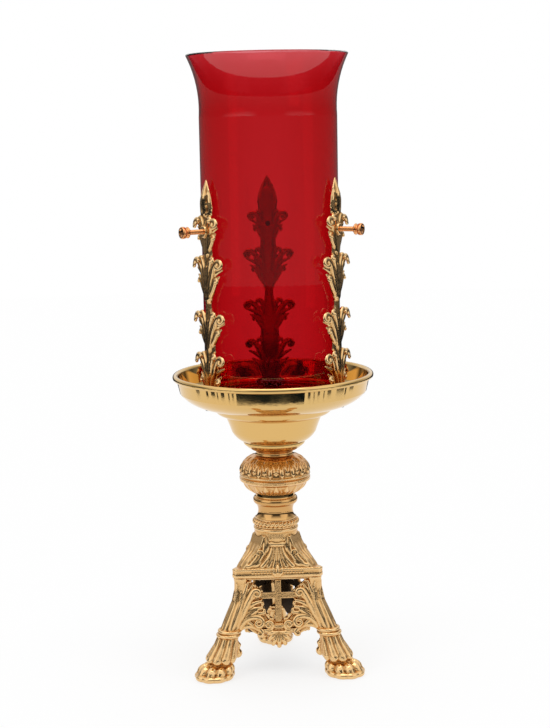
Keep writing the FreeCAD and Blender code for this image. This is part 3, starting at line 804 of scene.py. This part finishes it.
def arc(start, via, end, count=24):
    """Points (radius, z) on the circular arc through three."""
    (ax, ay), (bx, by), (cx, cy) = start, via, end
    d = 2 * (ax * (by - cy) + bx * (cy - ay) + cx * (ay - by))
    sa, sb, sc = ax * ax + ay * ay, bx * bx + by * by, cx * cx + cy * cy
    centre = np.array([(sa * (by - cy) + sb * (cy - ay) + sc * (ay - by)) / d,
                       (sa * (cx - bx) + sb * (ax - cx) + sc * (bx - ax)) / d])
    first, middle, last = (math.atan2(z - centre[1], r - centre[0]) for r, z in (start, via, end))
    middle = first + (middle - first + math.pi) % (2 * math.pi) - math.pi
    last = middle + (last - middle + math.pi) % (2 * math.pi) - math.pi
    reach = math.hypot(start[0] - centre[0], start[1] - centre[1])
    angle = np.linspace(first, last, count)
    return centre + reach * np.stack([np.cos(angle), np.sin(angle)], 1)


def turned_surface(profile):
    """place(u, v, h) for a turned profile: u is the azimuth in degrees, v runs 0 to 1 along it."""
    profile = np.asarray(profile, float)
    step = np.linalg.norm(np.diff(profile, axis=0), axis=1)
    share = np.concatenate([[0], np.cumsum(step)]) / step.sum()
    tangent = unit(np.gradient(profile, axis=0))
    normal = np.stack([tangent[:, 1], -tangent[:, 0]], 1)
    if profile[0, 1] > profile[-1, 1]:
        normal = -normal

    def place(u, v, h):
        r = np.interp(v, share, profile[:, 0]) + h * np.interp(v, share, normal[:, 0])
        z = np.interp(v, share, profile[:, 1]) + h * np.interp(v, share, normal[:, 1])
        a = np.radians(u)
        return np.stack([r * np.cos(a), r * np.sin(a), z + 0 * a], -1)
    return place


KNOP_LEAVES = 18


def knop_upper_casting():
    cast = Casting()
    dome = np.concatenate([[(29.8, 165.7)], arc((30.0, 167.0), (28.4, 174.2), (17.0, 183.0))])
    skin = dome - (1.7, 0)
    skin[:2] += (1.4, 0)
    lining = [(12.0, 183.0), (12.0, 179.0), (22.0, 174.0), (26.6, 168.4), (26.6, 165.7)]
    cast.lathe(np.concatenate([skin, lining]))
    cast.lathe([(ROD_BORE_R, 165.7), (7.0, 165.7), (7.0, 179.2), (16.0, 179.2), (16.0, 183.0),
                (ROD_BORE_R, 183.0)])
    place = turned_surface(dome[1:])
    step = 360 / KNOP_LEAVES
    for k in range(KNOP_LEAVES):
        u = step * k
        leaf = np.stack([np.full(16, u), np.linspace(0.80, 0.13, 16)], 1)
        cast.stroke(place, leaf, (0.7, 1.4, 1.8, 2.2, 1.8), (-2.0, -1.8, -1.5, -1.4, -1.3), 0.75)
        for s in (-1, 1):
            way = s * step
            side = bezier((u + 0.08 * way, 0.66), (u + 0.42 * way, 0.52), (u + 0.36 * way, 0.22), 10)
            cast.stroke(place, side, (0.6, 1.2, 1.1, 0.6), (-1.7, -1.2, -1.1, -1.3), 0.8)
            upper = bezier((u + 0.5 * way, 0.97), (u + 0.3 * way, 0.8), (u + 0.5 * way, 0.46), 12)
            cast.stroke(place, upper, (0.6, 1.1, 1.2, 0.7), (-1.6, -1.2, -1.1, -1.4), 0.8)
        tip = [(u + 0.5 * step, v) for v in (0.42, 0.30, 0.19)]
        cast.stroke(place, tip, (0.9, 1.3, 0.8), (-1.6, -1.2, -1.5), 0.9)
    return cast.build("knop_upper_relief", 0.42)


def knop_lower_casting():
    cast = Casting()
    cup = arc((16.6, 150.0), (24.8, 155.2), (29.8, 164.2))
    skin = cup[cup[:, 1] < 160.4] - (1.4, 0)
    rim = [(29.0, 161.0), (29.6, 161.6), (29.7, 164.2), (28.4, 164.7), (28.4, 165.5), (26.4, 165.5)]
    lining = [(20.0, 157.0), (7.0, 154.0), (7.0, 165.5), (ROD_BORE_R, 165.5), (ROD_BORE_R, 150.0)]
    cast.lathe(np.concatenate([skin, rim, lining]))
    place = turned_surface(cup)
    step = 360 / KNOP_LEAVES
    for k in range(KNOP_LEAVES):
        u = step * (k + 0.5)
        leaf = np.stack([np.full(12, u), np.linspace(0.03, 0.72, 12)], 1)
        cast.stroke(place, leaf, (1.5, 2.0, 1.9, 0.7), (-1.4, -1.4, -1.3, -1.2), 0.7)
        between = np.stack([np.full(8, u + 0.5 * step), np.linspace(0.03, 0.5, 8)], 1)
        cast.stroke(place, between, (1.0, 1.2, 0.5), (-1.3, -1.2, -1.2), 0.8)
    return cast.build("knop_lower_relief", 0.42)


ROPE_STRANDS = 32


def rope_casting():
    cast = Casting()
    cast.lathe([(ROD_BORE_R, 122.0), (17.5, 122.0), (18.2, 122.4), (18.2, 123.0), (17.2, 123.6),
                (17.7, 125.8), (17.1, 127.8), (17.7, 128.2), (17.7, 129.0), (17.4, 129.5),
                (ROD_BORE_R, 129.5)])
    place = turned_surface(arc((17.7, 123.2), (19.3, 125.7), (17.5, 128.2)))
    step = 360 / ROPE_STRANDS
    for k in range(ROPE_STRANDS):
        strand = np.stack([step * k + np.linspace(-0.55, 0.55, 10) * step, np.linspace(0.02, 0.98, 10)], 1)
        cast.stroke(place, strand, (0.8, 1.45, 1.5, 0.8), -0.9, 0.95)
    return cast.build("rope_collar_relief", 0.38, 1)


# ---------------------------------------------------------------- thumb screws

def thumb_screw_mesh():
    """Stud, fine thread, pointed bead, neck and knurled disc, lofted along +X."""
    sides = 72
    angle = 2 * math.pi * np.arange(sides) / sides
    rings = []

    def ring(x, radius):
        rings.append(np.stack([0 * angle + x, radius * np.cos(angle), SCREW_Z + radius * np.sin(angle)], 1))

    for x, radius in ((57.65, 0.5), (57.65, 0.9), (59.25, 0.9), (59.25, 1.6)):
        ring(x, radius)
    for x in np.arange(THREAD_START, THREAD_END, 0.13):
        turn = (x / SCREW_PITCH - angle / (2 * math.pi)) % 1
        run_in = min(1, (x - 59.3) / 0.6)
        ring(x, THREAD_R + THREAD_HEIGHT * (1 - np.abs(2 * turn - 1)) * run_in)
    for x, radius in ((75.8, 2.1), (75.85, 2.9), (76.9, 4.3), (77.3, 4.58), (77.7, 4.52), (78.6, 3.4),
                      (78.9, 3.05), (79.3, 2.95), (79.7, 3.05), (79.9, 4.2)):
        ring(x, radius)
    knurl = KNURL_DEPTH * np.abs(np.sin(KNURLS / 2 * angle))
    for x, radius, depth in ((80.1, 4.55, 0.3), (80.4, 4.85, 1), (82.6, 4.85, 1), (82.95, 4.6, 0.3),
                             (83.2, 4.1, 0)):
        ring(x, radius - depth * knurl)
    for x, radius in ((83.2, 3.2), (82.9, 2.9), (82.9, 0.3)):
        ring(x, radius)
    cast = Casting()
    cast.loft(rings)
    screw = mesh_object("thumb_screw_pattern", cast.verts, cast.faces)
    store(screw, "coppery", np.full(len(screw.data.vertices), 0.8))
    return screw


# ---------------------------------------------------------------- placing the pieces

def place_pattern(pattern, sides, prefix, suffix, slot):
    """One copy of a pattern for each corner or face, in place of the plain node there."""
    for name, azimuth in sides.items():
        node = prefix + "_" + name
        piece = turned_copy(pattern, node + suffix, azimuth)
        body = "screw_" + name if prefix == "thumb_screw" else "frame"
        finish_piece(piece, body, slot, node)
    bpy.data.objects.remove(pattern)


def make_base_and_stem():
    leg, panel, cross = leg_casting(), panel_casting(), cross_mesh()
    for pattern in (leg, panel):
        mark_hollows(pattern)
    for pattern in (panel, cross):
        mark_painted_inside_shade(pattern, panel_depth)
    place_pattern(leg, CORNERS, "leg", "_relief", "cast_gold")
    place_pattern(panel, FACES, "panel", "_relief", "cast_gold")
    place_pattern(cross, FACES, "cross", "_bevelled", "cast_gold")
    place_pattern(thumb_screw_mesh(), CORNERS, "thumb_screw", "_knurled", "polished_gold")
    singles = {"base_shell": shell_casting, "knop_upper": knop_upper_casting,
               "knop_lower": knop_lower_casting, "rope_collar": rope_casting}
    for node, make in singles.items():
        piece = make()
        mark_hollows(piece)
        finish_piece(piece, "frame", "cast_gold", node)


make_base_and_stem()

# ---------------------------------------------------------------- carried-over nodes

for item in frame["record"]["subparts"]:
    node = frame["nodes"][item["node"]]
    node.data.materials.clear()
    node.data.materials.append(SLOT_FINISH[item["material_slot"]])


# ---------------------------------------------------------------- studio

def softbox(name, place, aim, width, height, power, mirrored=False):
    """An area light that faces aim; polished pieces show it only if it is mirrored."""
    light = bpy.data.lights.new(name, "AREA")
    light.shape = "RECTANGLE"
    light.size = width
    light.size_y = height
    light.energy = power
    obj = added(name, light)
    obj.location = place
    obj.rotation_euler = (Vector(aim) - Vector(place)).to_track_quat("-Z", "Y").to_euler()
    obj.visible_glossy = mirrored


def studio_world():
    """White all round for what is seen directly or through glass; softboxes and gaps in reflections."""
    world = bpy.data.worlds.new("studio")
    bpy.context.scene.world = world
    world.use_nodes = True
    tree = world.node_tree
    back = tree.nodes["Background"]
    where = add_node(tree, "ShaderNodeTexCoord")
    split = add_node(tree, "ShaderNodeSeparateXYZ")
    tree.links.new(where.outputs["Generated"], split.inputs[0])
    turn = add_node(tree, "ShaderNodeMath", operation="ARCTAN2")
    tree.links.new(split.outputs["X"], turn.inputs[0])
    tree.links.new(split.outputs["Y"], turn.inputs[1])
    around = [(0.0, 0.08), (0.05, 0.06), (0.10, 1.15), (0.20, 1.25), (0.25, 0.12), (0.32, 0.45)]
    around += [(0.42, 0.9), (0.5, 0.9), (0.58, 0.9), (0.68, 0.4), (0.75, 0.1), (0.80, 1.2)]
    around += [(0.90, 1.0), (0.94, 0.06), (1.0, 0.08)]
    sides = ramp(tree, spread(tree, turn.outputs[0], -math.pi, math.pi), around)
    height = spread(tree, split.outputs["Z"], -1, 1)
    above = ramp(tree, height, [(0.0, 0.7), (0.6, 0.0), (0.72, 0.5), (0.86, 1.1)])
    feet = ramp(tree, height, [(0.525, 0.06), (0.55, 1.0)])
    raised = mixed(tree, 1.0, sides, feet, "MULTIPLY")
    lighter = mixed(tree, 1.0, raised, above, "LIGHTEN")
    rays = add_node(tree, "ShaderNodeLightPath")
    direct = add_node(tree, "ShaderNodeMath", operation="MAXIMUM")
    tree.links.new(rays.outputs["Is Camera Ray"], direct.inputs[0])
    tree.links.new(rays.outputs["Is Transmission Ray"], direct.inputs[1])
    seen = mixed(tree, direct.outputs[0], lighter, (1.0, 1.0, 1.0))
    tree.links.new(seen, back.inputs["Color"])
    back.inputs["Strength"].default_value = 1.0


def pale_floor():
    """A round floor that glows like the background, a little darker under the lamp."""
    sides = 64
    rings = []
    angle = np.linspace(0, 2 * math.pi, sides, endpoint=False)
    for radius in (3000.0, 0.5):
        rings.append(np.stack([radius * np.cos(angle), radius * np.sin(angle), 0 * angle], 1))
    faces = [(j, (j + 1) % sides, sides + (j + 1) % sides, sides + j) for j in range(sides)]
    faces.append(tuple(range(sides, 2 * sides)))
    floor = mesh_object("pale_floor", np.concatenate(rings), faces, smooth=False)
    made, tree, shader = material("floor_white", (0.8, 0.8, 0.8), 0.0, 0.7)
    glow = add_node(tree, "ShaderNodeEmission", Strength=0.995)
    where = add_node(tree, "ShaderNodeTexCoord")
    flat = add_node(tree, "ShaderNodeVectorMath", operation="MULTIPLY")
    flat.inputs[1].default_value = (1, 1, 0)
    reach = add_node(tree, "ShaderNodeVectorMath", operation="LENGTH")
    tree.links.new(where.outputs["Object"], flat.inputs[0])
    tree.links.new(flat.outputs[0], reach.inputs[0])
    share = ramp(tree, reach.outputs["Value"], [(0.0, 0.70), (0.12, 0.84), (0.26, 1.0)])
    mix = add_node(tree, "ShaderNodeMixShader")
    tree.links.new(share, mix.inputs[0])
    tree.links.new(shader.outputs[0], mix.inputs[1])
    tree.links.new(glow.outputs[0], mix.inputs[2])
    tree.links.new(mix.outputs[0], tree.nodes["Material Output"].inputs["Surface"])
    floor.data.materials.append(made)


CAMERA_AZIMUTH, CAMERA_REACH, CAMERA_Z = math.radians(2.0), 1.295, 0.458
CAMERA_PLACE = (-CAMERA_REACH * math.sin(CAMERA_AZIMUTH), -CAMERA_REACH * math.cos(CAMERA_AZIMUTH), CAMERA_Z)
# radius and height of the foot of the bowl's wall, and its lean in degrees
WALL_R, WALL_Z, WALL_LEAN = 77.5, 236.9, 13.3
FLAG_Z, FLAG_SPREAD, FLAG_POINTS = 4.0, 1.28, 24
# inner and outer reach in metres of the dark ring round the lamp
FAR_FLAG = (1.1, 3.2)
# where the wall shows each near card: first and last azimuth, lowest height
NEAR_FLAGS = [(-23.6, 16.1, 238.6), (-52.8, -49.6, 244.2), (-44.2, -42.6, 242.4), (-40.4, -37.4, 243.4),
              (-36.2, -35.4, 241.2), (-33.4, -31.2, 242.4), (-28.6, -27.8, 240.8), (-26.2, -25.0, 242.6),
              (18.0, 19.6, 241.6), (21.6, 22.2, 240.2), (24.0, 25.4, 243.4), (28.0, 28.6, 240.8),
              (30.6, 33.0, 243.2), (37.0, 43.0, 244.6), (44.0, 45.2, 241.4), (48.0, 52.0, 244.6)]


def seen_in_wall(azimuth, height):
    """The spot on the floor that the bowl's wall shows the camera at this azimuth and height."""
    lean = math.radians(WALL_LEAN)
    turn = math.radians(azimuth)
    reach = (WALL_R + (height - WALL_Z) * math.tan(lean)) * MM
    spot = Vector((reach * math.sin(turn), -reach * math.cos(turn), height * MM))
    out = Vector((math.sin(turn) * math.cos(lean), -math.cos(turn) * math.cos(lean), -math.sin(lean)))
    sight = (spot - Vector(CAMERA_PLACE)).normalized()
    mirrored = sight - 2 * sight.dot(out) * out
    return spot + mirrored * ((FLAG_Z * MM - spot.z) / mirrored.z)


def flags():
    """Dark cards just over the floor round the lamp, which only its polished pieces reflect."""
    made, tree, shader = material("flag_cloth", (0.004, 0.007, 0.014), 0.0, 1.0)
    shader.inputs["Specular IOR Level"].default_value = 0.0
    tree.links.new(ramp(tree, noise(tree, 9), [(0.3, (0.003, 0.006, 0.012)), (0.7, (0.010, 0.018, 0.030))]),
                   shader.inputs["Base Color"])
    all_round = np.radians(np.linspace(-180, 180, FLAG_POINTS))
    edges = [[[(reach * math.sin(a), -reach * math.cos(a), FLAG_Z * MM) for a in all_round]
              for reach in FAR_FLAG]]
    for first, last, low in NEAR_FLAGS:
        near = [tuple(seen_in_wall(a, low)) for a in np.linspace(first, last, FLAG_POINTS)]
        edges.append([near, [(FLAG_SPREAD * x, FLAG_SPREAD * y, z) for x, y, z in near]])
    faces = [(j, j + 1, FLAG_POINTS + 1 + j, FLAG_POINTS + j) for j in range(FLAG_POINTS - 1)]
    for k, (near, far) in enumerate(edges):
        card = mesh_object(f"flag_{k}", np.array(near + far) / MM, faces, smooth=False)
        card.data.materials.append(made)
        card.visible_camera = False
        card.visible_diffuse = False
        card.visible_shadow = False
        card.visible_transmission = False


def camera():
    """Stands a little to the left of the front, above the middle, and looks slightly down."""
    lens = bpy.data.cameras.new("camera")
    lens.sensor_width = 36
    lens.lens = 78.1
    lens.clip_start = 0.05
    obj = added("camera", lens)
    pitch, roll, swing = 8.75, -1.1, 0.083
    obj.location = CAMERA_PLACE
    yaw = -CAMERA_AZIMUTH - math.radians(swing)
    turn = Matrix.Rotation(yaw, 4, "Z") @ Matrix.Rotation(math.radians(90 - pitch), 4, "X")
    turn = turn @ Matrix.Rotation(math.radians(roll), 4, "Z")
    obj.rotation_euler = turn.to_euler()
    bpy.context.scene.camera = obj


studio_world()
pale_floor()
flags()
camera()
softbox("key_left", (-0.9, -0.7, 0.9), (0, 0, 0.2), 0.5, 0.9, 3.2)
softbox("fill_right", (1.0, -0.4, 0.6), (0, 0, 0.25), 0.4, 0.9, 2.2)
softbox("top", (0.0, -0.2, 1.5), (0, 0, 0.2), 0.9, 0.9, 4, mirrored=True)
bpy.context.scene.view_settings.view_transform = "Standard"
